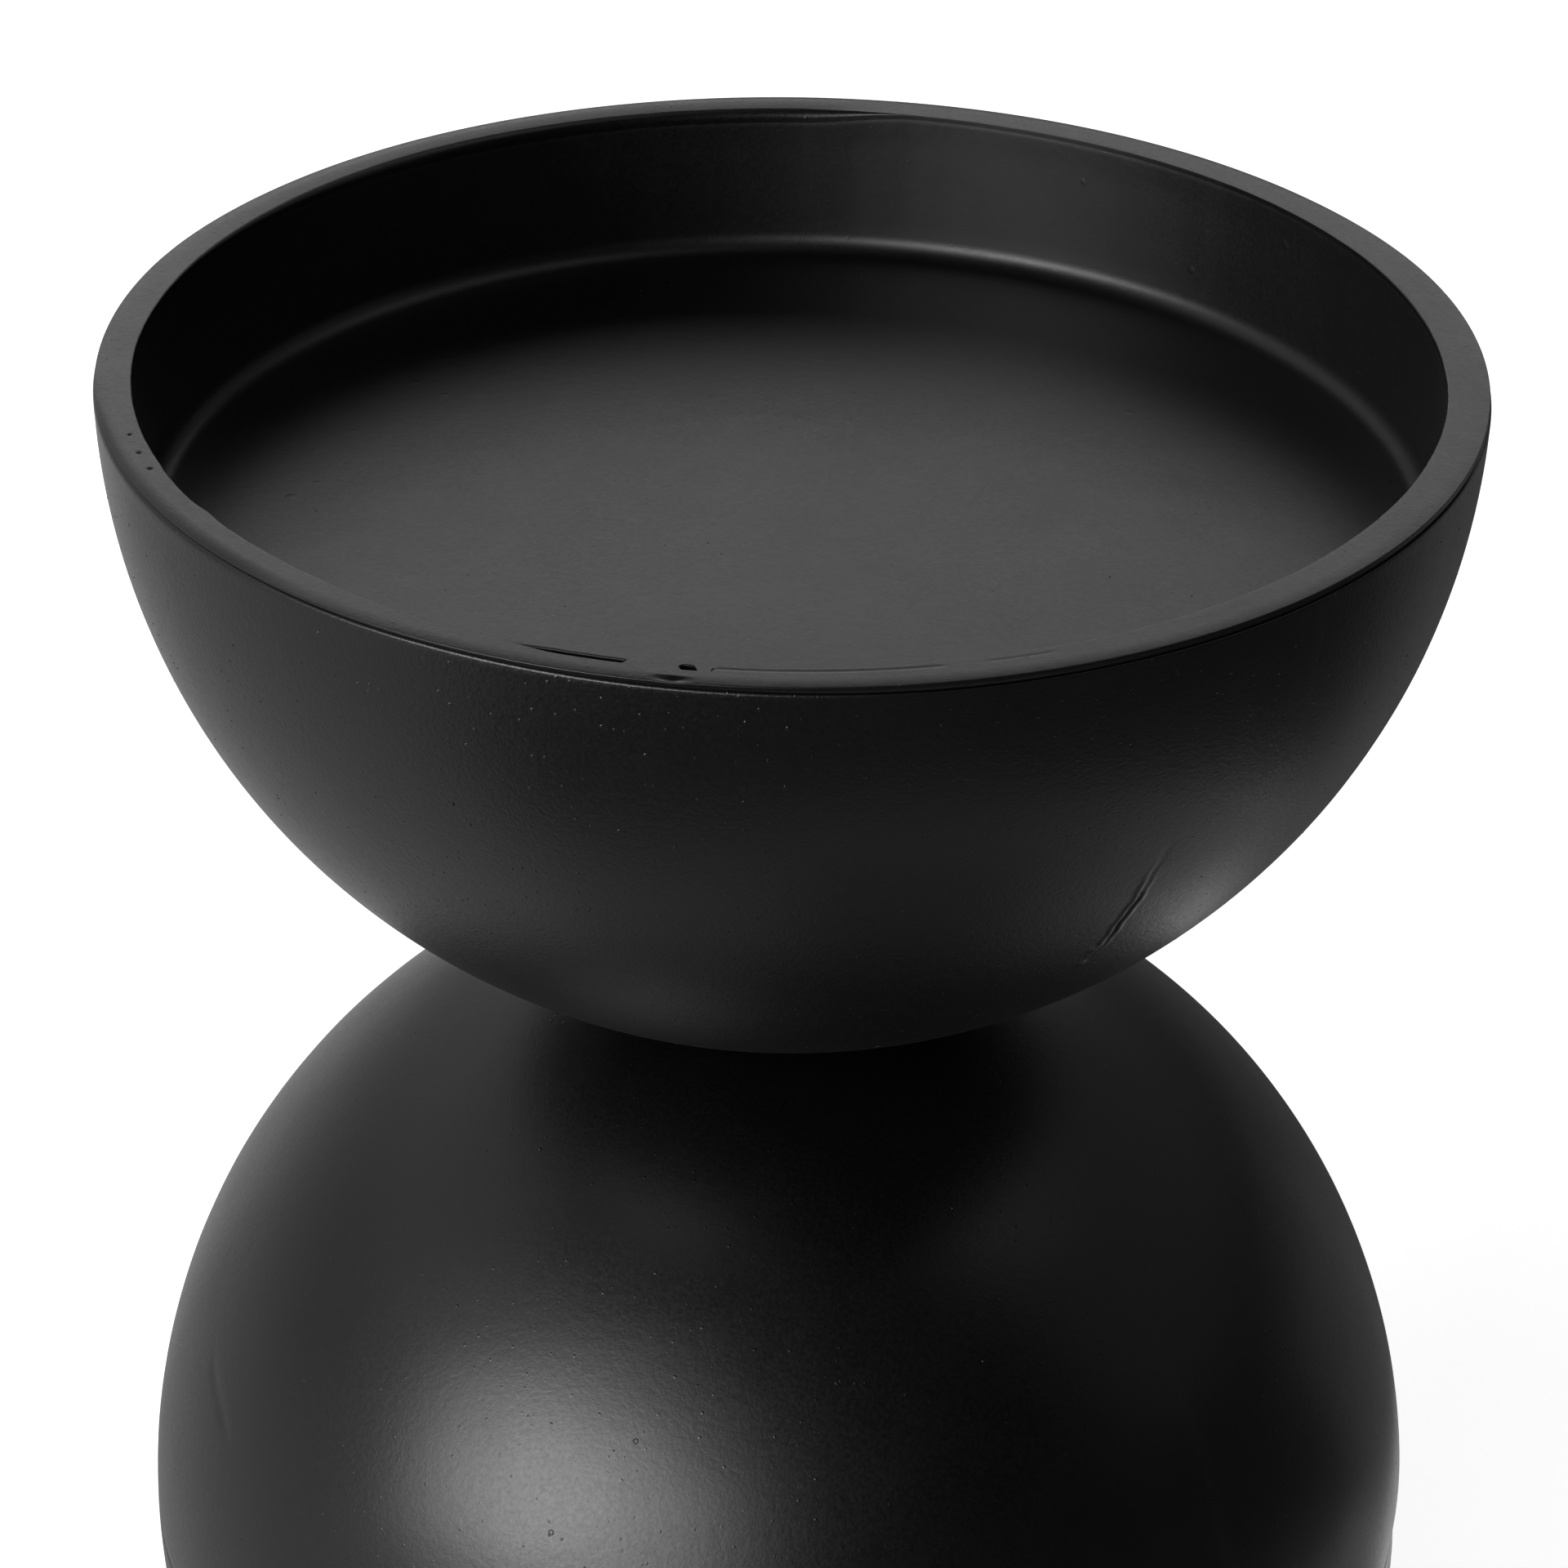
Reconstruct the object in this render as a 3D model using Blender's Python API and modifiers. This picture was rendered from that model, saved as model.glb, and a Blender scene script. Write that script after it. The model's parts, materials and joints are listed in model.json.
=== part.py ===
"""Candle holder: a half-round bowl with a shallow candle recess, standing on a ball.

Bowl and ball are three half shells spun from sheet on one former, so all three share one
outer radius. The bowl's mouth is closed by a pressed pan and an L-section hoop. A threaded
rod on the axis pulls bowl, neck washer, ball, ballast and base plate together. Lengths are
in metres, +Z is up, and the origin is the centre of the foot pad's underside.
"""

import math

import bmesh
import bpy

# Overall sizes
HEIGHT = 0.1450
BODY_RADIUS = 0.0500
SHEET = 0.0010
GAP = 0.0003

# Neck, where bowl and ball meet on their pole flats
POLE_FLAT_RADIUS = 0.0140
NECK_WASHER_RADIUS = 0.0125
NECK_WASHER_THICKNESS = 0.0010

# Recess pan and rim hoop
PAN_SHEET = 0.0007
PAN_TOP_RADIUS = 0.0472
PAN_WALL_FOOT_RADIUS = 0.0469
PAN_DEPTH = 0.0120
PAN_FILLET = 0.0015
RIM_OUTER_RADIUS = 0.04985
RIM_FLANGE_THICKNESS = 0.00057
RIM_ROUNDING = 0.00045
RIM_LEG_THICKNESS = 0.0005
RIM_LEG_DEPTH = 0.0026

# Ball joint and foot
BAND_HALF_HEIGHT = 0.0050
BAND_THICKNESS = 0.0010
PAD_THICKNESS = 0.0020
PAD_RADIUS = 0.0205
PAD_CHAMFER = 0.0003
BASE_SHEET = 0.0012
BASE_DISH_RADIUS = 0.0110
BASE_DISH_DEPTH = 0.0120
BASE_WALL_SPREAD = 0.0020
BASE_CORNER = 0.0015
BALLAST_HEIGHT = 0.0110

# Fixings: M6 rod with nut, split washer and plain washer at each end
ROD_RADIUS = 0.0030
ROD_UPPER_END = 0.0020
ROD_LOWER_END = 0.0005
ROD_CHAMFER = 0.0006
NUT_ACROSS_FLATS = 0.0100
NUT_HEIGHT = 0.0050
NUT_CHAMFER = 0.0004
WASHER_RADIUS = 0.0062
WASHER_THICKNESS = 0.0016
LOCK_WASHER_RADIUS = 0.0055
LOCK_WASHER_SPLIT = 0.0010

# Fineness of the round surfaces
SEGMENTS = 48
SMALL_SEGMENTS = 24
ARC_STEPS = 10
FILLET_STEPS = 3
BAND_STEPS = 2
EDGE_STEPS = 2
MERGE_DISTANCE = 0.00001
SHARP_ANGLE = math.radians(35)

# Levels along the axis
HOLE_RADIUS = ROD_RADIUS + GAP
POLE_FLAT_LEVEL = math.sqrt(BODY_RADIUS ** 2 - POLE_FLAT_RADIUS ** 2)
NECK_GAP = NECK_WASHER_THICKNESS + 2 * GAP
BOWL_CENTRE_Z = HEIGHT
BALL_CENTRE_Z = BOWL_CENTRE_Z - 2 * POLE_FLAT_LEVEL - NECK_GAP
FOOT_Z = PAD_THICKNESS + GAP
FOOT_RADIUS = math.sqrt(BODY_RADIUS ** 2 - (BALL_CENTRE_Z - FOOT_Z) ** 2)
BOWL_INNER_FLAT_Z = BOWL_CENTRE_Z - POLE_FLAT_LEVEL + SHEET
DISH_TOP_Z = FOOT_Z + BASE_DISH_DEPTH


def clear_scene():
    for old in list(bpy.data.objects):
        bpy.data.objects.remove(old)


def make_collection(name):
    collection = bpy.data.collections.new(name)
    bpy.context.scene.collection.children.link(collection)
    return collection


def make_material(name, colour, roughness, metallic=0.0):
    material = bpy.data.materials.new(name)
    material.use_nodes = True
    shader = material.node_tree.nodes["Principled BSDF"]
    shader.inputs["Base Color"].default_value = (*colour, 1.0)
    shader.inputs["Roughness"].default_value = roughness
    shader.inputs["Metallic"].default_value = metallic
    return material


def new_object(name, mesh, collection, material=None, z=0.0):
    obj = bpy.data.objects.new(name, mesh)
    collection.objects.link(obj)
    obj.location.z = z
    if material:
        mesh.materials.append(material)
    return obj


def arc(radius, start, end, steps, centre=(0.0, 0.0)):
    """Points (r, z) on a circle, from the angle start to the angle end."""
    points = []
    for step in range(steps + 1):
        angle = start + (end - start) * step / steps
        x = centre[0] + radius * math.cos(angle)
        z = centre[1] + radius * math.sin(angle)
        points.append((x, z))
    return points


def body_angle(level):
    """Angle on the body's sphere at a height above its centre."""
    return math.asin(level / BODY_RADIUS)


def rounded(corners):
    """Points (r, z) of a line whose inner corners (r, z, radius) are rounded."""
    points = [corners[0][:2]]
    for before, corner, after in zip(corners, corners[1:], corners[2:]):
        points += corner_arc(before, corner, after)
    points.append(corners[-1][:2])
    return points


def corner_arc(before, corner, after):
    x, z, radius = corner
    if radius == 0:
        return [(x, z)]
    back = math.atan2(before[1] - z, before[0] - x)
    ahead = math.atan2(after[1] - z, after[0] - x)
    turn = (ahead - back + math.pi) % (2 * math.pi) - math.pi
    middle = back + turn / 2
    reach = radius / math.sin(abs(turn) / 2)
    centre = (x + reach * math.cos(middle), z + reach * math.sin(middle))
    side = math.copysign(math.pi / 2, turn)
    swing = math.copysign(math.pi - abs(turn), turn)
    start = back - side
    return arc(radius, start, start - swing, FILLET_STEPS, centre)


def turned(name, profile, collection, material, z, closed=False, segments=SEGMENTS):
    """Turn a profile (r, z), listed down its outer side, about the Z axis."""
    points = [(x, 0.0, height) for x, height in profile]
    edges = [(i, i + 1) for i in range(len(points) - 1)]
    if closed:
        edges.append((len(points) - 1, 0))
    mesh = bpy.data.meshes.new(name)
    mesh.from_pydata(points, edges, [])
    obj = new_object(name, mesh, collection, material, z)
    screw = obj.modifiers.new("Turn", "SCREW")
    screw.axis = "Z"
    screw.steps = segments
    screw.render_steps = segments
    screw.use_merge_vertices = True
    screw.merge_threshold = MERGE_DISTANCE
    screw.use_smooth_shade = True
    return obj


def ring(name, radius, thickness, collection, material, z, segments=SEGMENTS):
    """Flat ring that fits round the tie rod and stands on the height z."""
    profile = [(HOLE_RADIUS, thickness), (radius, thickness), (radius, 0.0), (HOLE_RADIUS, 0.0)]
    return turned(name, profile, collection, material, z, closed=True, segments=segments)


def thicken(obj, thickness):
    """Give an open turned surface its sheet thickness, on its inner side."""
    solidify = obj.modifiers.new("Sheet", "SOLIDIFY")
    solidify.thickness = thickness
    solidify.offset = -1
    solidify.use_even_offset = True


def round_edges(obj, width):
    bevel = obj.modifiers.new("Edges", "BEVEL")
    bevel.width = width
    bevel.segments = EDGE_STEPS
    bevel.limit_method = "ANGLE"
    bevel.angle_limit = SHARP_ANGLE


def prism(name, radius, height, sides, collection, material=None, z=0.0):
    """A closed cylinder or hexagonal prism that stands on the height z."""
    mesh = bpy.data.meshes.new(name)
    shape = bmesh.new()
    bmesh.ops.create_cone(shape, cap_ends=True, segments=sides, radius1=radius,
                          radius2=radius, depth=height)
    bmesh.ops.translate(shape, verts=shape.verts, vec=(0, 0, height / 2))
    shape.to_mesh(mesh)
    shape.free()
    mesh.shade_smooth()
    mesh.set_sharp_from_angle(angle=SHARP_ANGLE)
    return new_object(name, mesh, collection, material, z)


def cut(obj, cutter):
    cutter.hide_render = True
    cutter.display_type = "WIRE"
    boolean = obj.modifiers.new("Cut", "BOOLEAN")
    boolean.operation = "DIFFERENCE"
    boolean.solver = "EXACT"
    boolean.object = cutter


def make_bowl_shell(parts, coat):
    """Half shell, rim up, that starts just below the rim hoop's flange."""
    rim = body_angle(-RIM_FLANGE_THICKNESS - GAP)
    flat = body_angle(-POLE_FLAT_LEVEL)
    profile = arc(BODY_RADIUS, rim, flat, ARC_STEPS)
    profile.append((HOLE_RADIUS, -POLE_FLAT_LEVEL))
    shell = turned("bowl_shell", profile, parts, coat, BOWL_CENTRE_Z)
    thicken(shell, SHEET)


def make_ball_upper_shell(parts, coat):
    """Half shell, pole up, that ends just above the ball's equator."""
    flat = body_angle(POLE_FLAT_LEVEL)
    equator = body_angle(GAP / 2)
    profile = [(HOLE_RADIUS, POLE_FLAT_LEVEL)]
    profile += arc(BODY_RADIUS, flat, equator, ARC_STEPS)
    shell = turned("ball_upper_shell", profile, parts, coat, BALL_CENTRE_Z)
    thicken(shell, SHEET)


def make_ball_lower_shell(parts, coat):
    """Half shell, pole down, that is cut open at the foot."""
    equator = body_angle(-GAP / 2)
    foot = body_angle(FOOT_Z - BALL_CENTRE_Z)
    profile = arc(BODY_RADIUS, equator, foot, ARC_STEPS)
    shell = turned("ball_lower_shell", profile, parts, coat, BALL_CENTRE_Z)
    thicken(shell, SHEET)


def make_rim_ring(parts, coat):
    """L-section hoop: a flange over the bowl's edge and a leg between bowl and pan."""
    inner = PAN_TOP_RADIUS + PAN_SHEET + GAP
    leg = inner + RIM_LEG_THICKNESS
    profile = rounded([
        (inner, 0.0, 0),
        (RIM_OUTER_RADIUS, 0.0, RIM_ROUNDING),
        (RIM_OUTER_RADIUS, -RIM_FLANGE_THICKNESS, 0),
        (leg, -RIM_FLANGE_THICKNESS, 0),
        (leg, -RIM_LEG_DEPTH, 0),
        (inner, -RIM_LEG_DEPTH, 0),
    ])
    turned("rim_ring", profile, parts, coat, HEIGHT, closed=True)


def make_recess_pan(parts, coat):
    """Pressed pan: an upright lip, a wall with a little draft, a fillet and a flat floor."""
    underside = -PAN_DEPTH - PAN_SHEET
    profile = rounded([
        (PAN_TOP_RADIUS + PAN_SHEET, 0.0, 0),
        (PAN_TOP_RADIUS + PAN_SHEET, -RIM_LEG_DEPTH, 0),
        (PAN_WALL_FOOT_RADIUS + PAN_SHEET, underside, PAN_FILLET + PAN_SHEET),
        (0.0, underside, 0),
    ])
    pan = turned("recess_pan", profile, parts, coat, HEIGHT)
    thicken(pan, PAN_SHEET)


def make_neck_washer(parts, coat):
    """Plain spacer between the pole flats of bowl and ball."""
    level = BALL_CENTRE_Z + POLE_FLAT_LEVEL + GAP
    ring("neck_washer", NECK_WASHER_RADIUS, NECK_WASHER_THICKNESS, parts, coat, level)


def make_equator_band(parts, steel):
    """Backing strip that bridges the joint of the ball's half shells inside."""
    radius = BODY_RADIUS - SHEET - GAP
    reach = math.asin(BAND_HALF_HEIGHT / radius)
    profile = arc(radius, reach, -reach, BAND_STEPS)
    band = turned("equator_band", profile, parts, steel, BALL_CENTRE_Z)
    thicken(band, BAND_THICKNESS)


def make_base_plate(parts, steel):
    """Pressed dish: a flange in the foot opening and a raised centre for the nut."""
    wall_foot = BASE_DISH_RADIUS + BASE_WALL_SPREAD
    flange_radius = FOOT_RADIUS * (BODY_RADIUS - SHEET) / BODY_RADIUS - GAP
    profile = rounded([
        (HOLE_RADIUS, BASE_DISH_DEPTH, 0),
        (BASE_DISH_RADIUS, BASE_DISH_DEPTH, BASE_CORNER + BASE_SHEET),
        (wall_foot, BASE_SHEET, BASE_CORNER),
        (flange_radius, BASE_SHEET, 0),
    ])
    plate = turned("base_plate", profile, parts, steel, FOOT_Z)
    thicken(plate, BASE_SHEET)


def make_ballast_weight(parts, iron):
    """Cast ring whose side follows the inside of the ball's lower shell."""
    radius = BODY_RADIUS - SHEET - 2 * GAP
    bottom = DISH_TOP_Z + GAP - BALL_CENTRE_Z
    top = bottom + BALLAST_HEIGHT
    side = arc(radius, math.asin(top / radius), math.asin(bottom / radius), FILLET_STEPS)
    profile = [(HOLE_RADIUS, top), *side, (HOLE_RADIUS, bottom)]
    turned("ballast_weight", profile, parts, iron, BALL_CENTRE_Z, closed=True)


def make_foot_pad(parts, rubber):
    pad = prism("foot_pad", PAD_RADIUS, PAD_THICKNESS, SEGMENTS, parts, rubber)
    round_edges(pad, PAD_CHAMFER)


def make_lock_washer(name, z, parts, cutters, zinc):
    """Washer of square wire with one split."""
    washer = ring(name, LOCK_WASHER_RADIUS, WASHER_THICKNESS, parts, zinc, z, SMALL_SEGMENTS)
    mesh = bpy.data.meshes.new(name + "_split")
    shape = bmesh.new()
    bmesh.ops.create_cube(shape, size=1.0)
    size = (2 * LOCK_WASHER_RADIUS, LOCK_WASHER_SPLIT, 3 * WASHER_THICKNESS)
    bmesh.ops.scale(shape, verts=shape.verts, vec=size)
    bmesh.ops.translate(shape, verts=shape.verts, vec=(LOCK_WASHER_RADIUS, 0, WASHER_THICKNESS / 2))
    shape.to_mesh(mesh)
    shape.free()
    cut(washer, new_object(name + "_split", mesh, cutters, z=z))


def make_nut(name, z, parts, cutters, zinc):
    """Hexagon nut with softened edges and a plain bore."""
    corner_radius = NUT_ACROSS_FLATS / 2 / math.cos(math.radians(30))
    nut = prism(name, corner_radius, NUT_HEIGHT, 6, parts, zinc, z)
    round_edges(nut, NUT_CHAMFER)
    bore = prism(name + "_bore", HOLE_RADIUS, 3 * NUT_HEIGHT, SMALL_SEGMENTS, cutters, z=z - NUT_HEIGHT)
    cut(nut, bore)


def make_rod_end(place, face, direction, parts, cutters, zinc):
    """Washer, split washer and nut, stacked from a face, up (1) or down (-1).

    Returns the level of the nut's far face.
    """
    washer = face + direction * GAP
    lock = washer + direction * (WASHER_THICKNESS + GAP)
    nut = lock + direction * (WASHER_THICKNESS + GAP)
    end = nut + direction * NUT_HEIGHT
    washer_low = min(washer, washer + direction * WASHER_THICKNESS)
    lock_low = min(lock, lock + direction * WASHER_THICKNESS)
    ring(place + "_washer", WASHER_RADIUS, WASHER_THICKNESS, parts, zinc, washer_low, SMALL_SEGMENTS)
    make_lock_washer(place + "_lock_washer", lock_low, parts, cutters, zinc)
    make_nut(place + "_nut", min(nut, end), parts, cutters, zinc)
    return end


def make_tie_rod(low, high, parts, zinc):
    rod = prism("tie_rod", ROD_RADIUS, high - low, SMALL_SEGMENTS, parts, zinc, low)
    round_edges(rod, ROD_CHAMFER)


def main():
    clear_scene()
    parts = make_collection("bowl_on_ball_candle_holder")
    cutters = make_collection("cutters")
    coat = make_material("black_powder_coat", (0.012, 0.012, 0.012), 0.5)
    steel = make_material("plain_steel", (0.25, 0.25, 0.26), 0.4, 1.0)
    zinc = make_material("zinc_plate", (0.55, 0.56, 0.58), 0.35, 1.0)
    iron = make_material("cast_iron", (0.09, 0.09, 0.09), 0.7, 1.0)
    rubber = make_material("black_rubber", (0.02, 0.02, 0.02), 0.8)

    make_bowl_shell(parts, coat)
    make_rim_ring(parts, coat)
    make_recess_pan(parts, coat)
    make_neck_washer(parts, coat)
    make_ball_upper_shell(parts, coat)
    make_ball_lower_shell(parts, coat)
    make_equator_band(parts, steel)
    make_ballast_weight(parts, iron)
    make_base_plate(parts, steel)
    make_foot_pad(parts, rubber)

    upper_nut_face = make_rod_end("bowl", BOWL_INNER_FLAT_Z, 1, parts, cutters, zinc)
    lower_nut_face = make_rod_end("base", DISH_TOP_Z - BASE_SHEET, -1, parts, cutters, zinc)
    make_tie_rod(lower_nut_face - ROD_LOWER_END, upper_nut_face + ROD_UPPER_END, parts, zinc)


main()
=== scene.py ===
"""Looks of the bowl-on-ball candle holder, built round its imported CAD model.

Every coated piece and the foot pad are finely turned meshes that stand for CAD nodes, and the
grains in the coat are pieces of their own. The pieces inside keep their CAD shape.
Angles round the axis ("turn") are in degrees, 0 at the front (-Y) and positive towards +X.
A "level" is an angle in degrees above the middle of a sphere. Lengths are metres. Formulas
worked out in mm are multiplied by MM at their end.
"""

import json
import math
import random

import bmesh
import bpy
import numpy as np
from mathutils import Matrix, Vector


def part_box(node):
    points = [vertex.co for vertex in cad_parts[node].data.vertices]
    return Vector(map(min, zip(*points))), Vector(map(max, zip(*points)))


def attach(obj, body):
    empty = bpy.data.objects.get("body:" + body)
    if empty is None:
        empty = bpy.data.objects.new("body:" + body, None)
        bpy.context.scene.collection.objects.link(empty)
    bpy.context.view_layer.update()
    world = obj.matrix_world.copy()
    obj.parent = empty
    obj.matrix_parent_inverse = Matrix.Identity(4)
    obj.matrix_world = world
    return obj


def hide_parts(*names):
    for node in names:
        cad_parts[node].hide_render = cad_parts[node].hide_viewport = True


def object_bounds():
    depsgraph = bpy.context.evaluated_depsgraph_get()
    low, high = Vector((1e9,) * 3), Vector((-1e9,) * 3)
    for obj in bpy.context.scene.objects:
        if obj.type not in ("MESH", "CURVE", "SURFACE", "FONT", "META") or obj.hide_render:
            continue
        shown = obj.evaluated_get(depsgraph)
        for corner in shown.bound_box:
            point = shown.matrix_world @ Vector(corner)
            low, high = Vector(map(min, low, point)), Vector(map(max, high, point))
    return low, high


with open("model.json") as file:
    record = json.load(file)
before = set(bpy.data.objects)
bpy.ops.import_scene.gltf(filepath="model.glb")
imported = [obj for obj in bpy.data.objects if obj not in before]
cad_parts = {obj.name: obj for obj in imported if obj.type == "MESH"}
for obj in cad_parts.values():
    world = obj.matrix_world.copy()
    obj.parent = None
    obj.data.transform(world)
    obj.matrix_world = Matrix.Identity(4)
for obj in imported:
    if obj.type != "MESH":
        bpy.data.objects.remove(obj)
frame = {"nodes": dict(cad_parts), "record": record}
CAD_LOW, CAD_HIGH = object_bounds()

MM = 0.001

# Zones (start, end, step) of turns or levels where marks need a finer mesh, and the step elsewhere.
FRONT_FINE = (-24.5, 22.5, 0.12)
LEFT_FINE = (-75.0, -52.0, 0.15)
RUN_TURNS = (27.0, 38.0, 0.1)
RUN_LEVELS = (-38.0, -19.0, 0.2)
STREAK_TURNS = (-74.0, -60.0, 0.2)
STREAK_LEVELS = (17.0, 26.0, 0.25)
EVEN = 1.0


# ---------------------------------------------------------------- sizes, from the frame where it has them

RIM_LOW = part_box("rim_ring")[0]
PAN_LOW, PAN_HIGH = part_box("recess_pan")
BOWL_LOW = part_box("bowl_shell")[0]
UPPER_LOW, UPPER_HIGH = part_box("ball_upper_shell")
LOWER_LOW, LOWER_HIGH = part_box("ball_lower_shell")
NECK_LOW, NECK_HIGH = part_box("neck_washer")
PAD_LOW, PAD_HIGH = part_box("foot_pad")
ROD_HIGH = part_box("tie_rod")[1]

HEIGHT = CAD_HIGH.z
BODY_RADIUS = CAD_HIGH.x
SHEET = 1.0 * MM
PAN_SHEET = 0.7 * MM
PAN_RADIUS = PAN_HIGH.x - PAN_SHEET
PAN_FOOT_RADIUS = PAN_RADIUS - 0.3 * MM
PAN_FLOOR = PAN_LOW.z + PAN_SHEET
PAN_FILLET = 1.5 * MM
PAN_DISH = 0.10 * MM
SEAM_Z = (UPPER_LOW.z + LOWER_HIGH.z) / 2
BOWL_FLAT = BOWL_LOW.z - HEIGHT
BALL_FLAT = UPPER_HIGH.z - SEAM_Z
FOOT = LOWER_LOW.z - SEAM_Z
HOLE_RADIUS = ROD_HIGH.x + 0.3 * MM

# How many degrees a shell's outer face stops short of its pole flat, and its inner face's rows.
FLAT_MARGIN = 1.6
INNER_ROWS = 24


# ---------------------------------------------------------------- curves and bumps

def gauss(x, centre, width):
    return np.exp(-((x - centre) / width) ** 2)


def step(x, low, high):
    """Smooth step from 0 at low to 1 at high."""
    t = np.clip((x - low) / (high - low), 0.0, 1.0)
    return t * t * (3 - 2 * t)


def window(x, low, high, soft):
    """1 between low and high, easing to 0 over soft on either side."""
    return step(x, low - soft, low + soft) * (1 - step(x, high - soft, high + soft))


def wobble(turn, seed, waves=(3, 5, 9, 14)):
    """A smooth uneven line round the axis, from about -1 to 1, that closes on itself."""
    source = random.Random(seed)
    total = 0.0
    for wave in waves:
        total = total + np.sin(np.radians(turn) * wave + source.uniform(0, 2 * math.pi)) / len(waves)
    return total


def roughness_line(turn, seed):
    """A fast unevenness round the axis, from about -1 to 1."""
    return wobble(turn, seed, (37, 61, 97, 151, 233))


def direction(turn, level):
    """The unit vector that points away from the axis at this turn, and upwards by this level."""
    a, e = math.radians(turn), math.radians(level)
    return Vector((math.sin(a) * math.cos(e), -math.cos(a) * math.cos(e), math.sin(e)))


def spread(low, high, even_step, fine=()):
    """Values from low to high, an even step apart and closer in the fine (low, high, step) zones."""
    count = max(1, round((high - low) / even_step))
    values = set(np.round(np.linspace(low, high, count + 1), 6))
    for zone_low, zone_high, zone_step in fine:
        values = {v for v in values if not zone_low < v < zone_high}
        count = round((zone_high - zone_low) / zone_step)
        values |= set(np.round(np.linspace(zone_low, zone_high, count + 1), 6))
    return np.array(sorted(values))


def turns(even_step, fine=()):
    """Angles all round the axis, for a closed turned mesh."""
    return spread(-180.0, 180.0, even_step, fine)[:-1]


def corner(centre, radius, start, end, steps):
    """Points (r, z) on a small arc. The angles are degrees from outward to up."""
    points = []
    for angle in np.radians(np.linspace(start, end, steps + 1)):
        points.append((centre[0] + radius * np.cos(angle), centre[1] + radius * np.sin(angle)))
    return points


# ---------------------------------------------------------------- turned meshes

def linked_object(name, data, place=(0, 0, 0)):
    obj = bpy.data.objects.new(name, data)
    obj.location = place
    bpy.context.scene.collection.objects.link(obj)
    return obj


def lathe(name, turn, profile, closed=True):
    """Mesh from profile points (r, z), each a number or one value for each angle in turn.

    The points run down the outer side. An open profile starts and ends on the axis.
    """
    radius = np.array([np.broadcast_to(r, turn.shape) for r, z in profile], float)
    height = np.array([np.broadcast_to(z, turn.shape) for r, z in profile], float)
    angle = np.radians(turn)
    points = np.stack([radius * np.sin(angle), -radius * np.cos(angle), height], axis=-1)
    count_rows, count = radius.shape
    upper = np.arange(count_rows if closed else count_rows - 1)
    lower = (upper + 1) % count_rows
    left = np.arange(count)
    right = (left + 1) % count
    faces = np.stack([
        upper[:, None] * count + left,
        lower[:, None] * count + left,
        lower[:, None] * count + right,
        upper[:, None] * count + right,
    ], axis=-1).reshape(-1, 4)
    mesh = bpy.data.meshes.new(name)
    mesh.from_pydata(points.reshape(-1, 3).tolist(), [], faces.tolist())
    if not closed:
        weld(mesh)
    mesh.shade_smooth()
    return linked_object(name, mesh)


def weld(mesh):
    """Joins the points that an open profile leaves on the axis."""
    shape = bmesh.new()
    shape.from_mesh(mesh)
    bmesh.ops.remove_doubles(shape, verts=shape.verts, dist=1e-7)
    shape.to_mesh(mesh)
    shape.free()


def dome_rows(levels, turn, centre_z, radius, push=None):
    """Profile points on a sphere at the given elevations, moved outwards by push(turn, level)."""
    rows = []
    for level in levels:
        reach = radius + (push(turn, level) if push else 0.0)
        angle = math.radians(level)
        rows.append((reach * math.cos(angle), centre_z + reach * math.sin(angle)))
    return rows


def level_at(height):
    """The level of the circle that lies on bowl or ball at this height above its middle."""
    return math.degrees(math.asin(height / BODY_RADIUS))


def circle_at(height):
    """The radius of that circle."""
    return math.sqrt(BODY_RADIUS ** 2 - height ** 2)


def stand_for(piece, material, slot, *nodes):
    """Gives the piece its material and lets it replace the CAD nodes."""
    piece.data.materials.append(material)
    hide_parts(*nodes)
    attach(piece, "root")
    return piece


# ---------------------------------------------------------------- materials

# Noise scales in features per metre, and the range of the coat's roughness.
PEEL_SCALE = 1150.0
GRAIN_SCALE = 3300.0
BLOTCH_SCALE = 90.0
RUN_SCALE = 300.0
NIB_SCALE = 1100.0
SATIN_SMOOTH = 0.31
SATIN_ROUGH = 0.39


def node_material(name):
    """A new material with its node tree, its shader and the object coordinates."""
    material = bpy.data.materials.new(name)
    material.use_nodes = True
    tree = material.node_tree
    shader = tree.nodes["Principled BSDF"]
    place = tree.nodes.new("ShaderNodeTexCoord").outputs["Object"]
    return material, tree, shader, place


def noise(tree, place, scale, detail=2.0, rough=0.5):
    """Cloudy noise, mostly between 0.3 and 0.7."""
    node = tree.nodes.new("ShaderNodeTexNoise")
    node.inputs["Scale"].default_value = scale
    node.inputs["Detail"].default_value = detail
    node.inputs["Roughness"].default_value = rough
    tree.links.new(place, node.inputs["Vector"])
    return node.outputs["Fac"]


def ranged(tree, value, low, high, from_low=0.3, from_high=0.7, easing="LINEAR"):
    """The value, carried from the range from_low to from_high over to the range low to high."""
    node = tree.nodes.new("ShaderNodeMapRange")
    node.interpolation_type = easing
    node.inputs["From Min"].default_value = from_low
    node.inputs["From Max"].default_value = from_high
    node.inputs["To Min"].default_value = low
    node.inputs["To Max"].default_value = high
    tree.links.new(value, node.inputs["Value"])
    return node.outputs["Result"]


def tint(tree, value, dark, light):
    """A colour from dark, where the value is 0, to light, where it is 1."""
    node = tree.nodes.new("ShaderNodeMix")
    node.data_type = "RGBA"
    node.inputs["A"].default_value = (*dark, 1.0)
    node.inputs["B"].default_value = (*light, 1.0)
    tree.links.new(value, node.inputs["Factor"])
    return node.outputs["Result"]


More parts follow.
